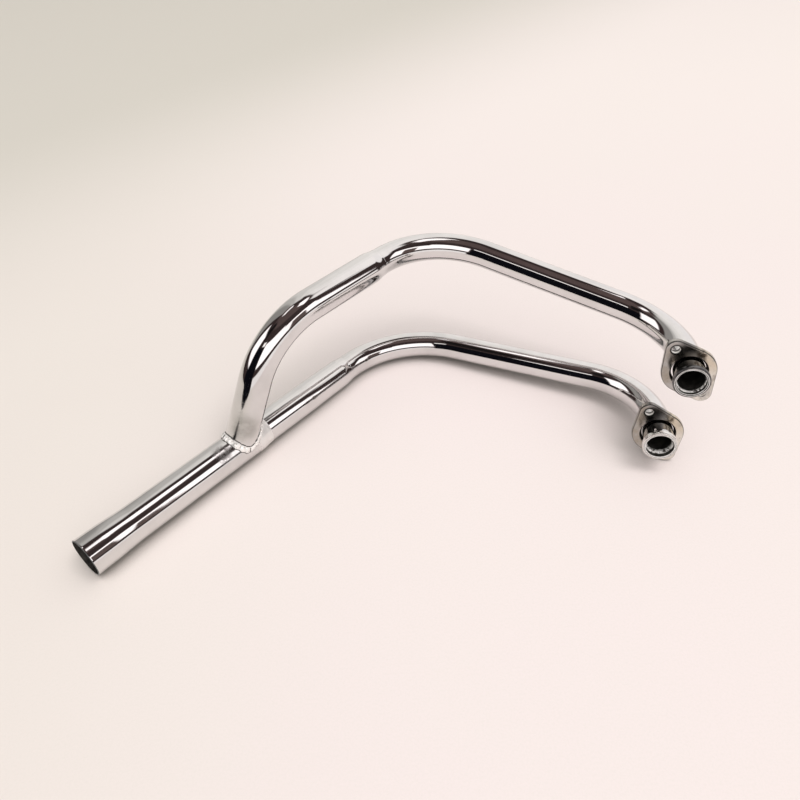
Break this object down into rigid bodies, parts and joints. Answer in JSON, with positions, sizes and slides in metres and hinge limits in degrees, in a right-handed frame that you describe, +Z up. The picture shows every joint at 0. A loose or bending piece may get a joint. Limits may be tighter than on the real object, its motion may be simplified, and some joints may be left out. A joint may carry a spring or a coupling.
{
  "type": "motorcycle exhaust header",
  "caption": "Bright chromed two-into-one exhaust header: bent head pipes slip into larger tubes, a crossover tube welded onto the collector, and loose stud flanges at the ports.",
  "frame": {"origin": "centre of the bounding box in plan, at the floor the header lies on", "axes": "+X along the longest extent, from the outlet end toward the port flanges; +Y from the port side toward the far bends; +Z up from the floor"},
  "size_m": [0.7166, 0.4006, 0.188],
  "materials": {
    "polished_tube": "bright polished chrome plate",
    "weld": "chromed weld bead, lumpy",
    "turned_ring": "satin turned steel",
    "flange_plate": "satin worn plate"
  },
  "bodies": {
    "root": {"main_head_pipe": "polished_tube", "crossover_head_pipe": "polished_tube", "main_lower_tube": "polished_tube", "crossover_tube": "polished_tube", "collector_tube": "polished_tube", "merge_weld_bead": "weld", "collector_weld_bead": "weld", "main_port_ring": "turned_ring", "crossover_port_ring": "turned_ring", "main_port_flange": "flange_plate", "crossover_port_flange": "flange_plate"}
  },
  "joints": []
}
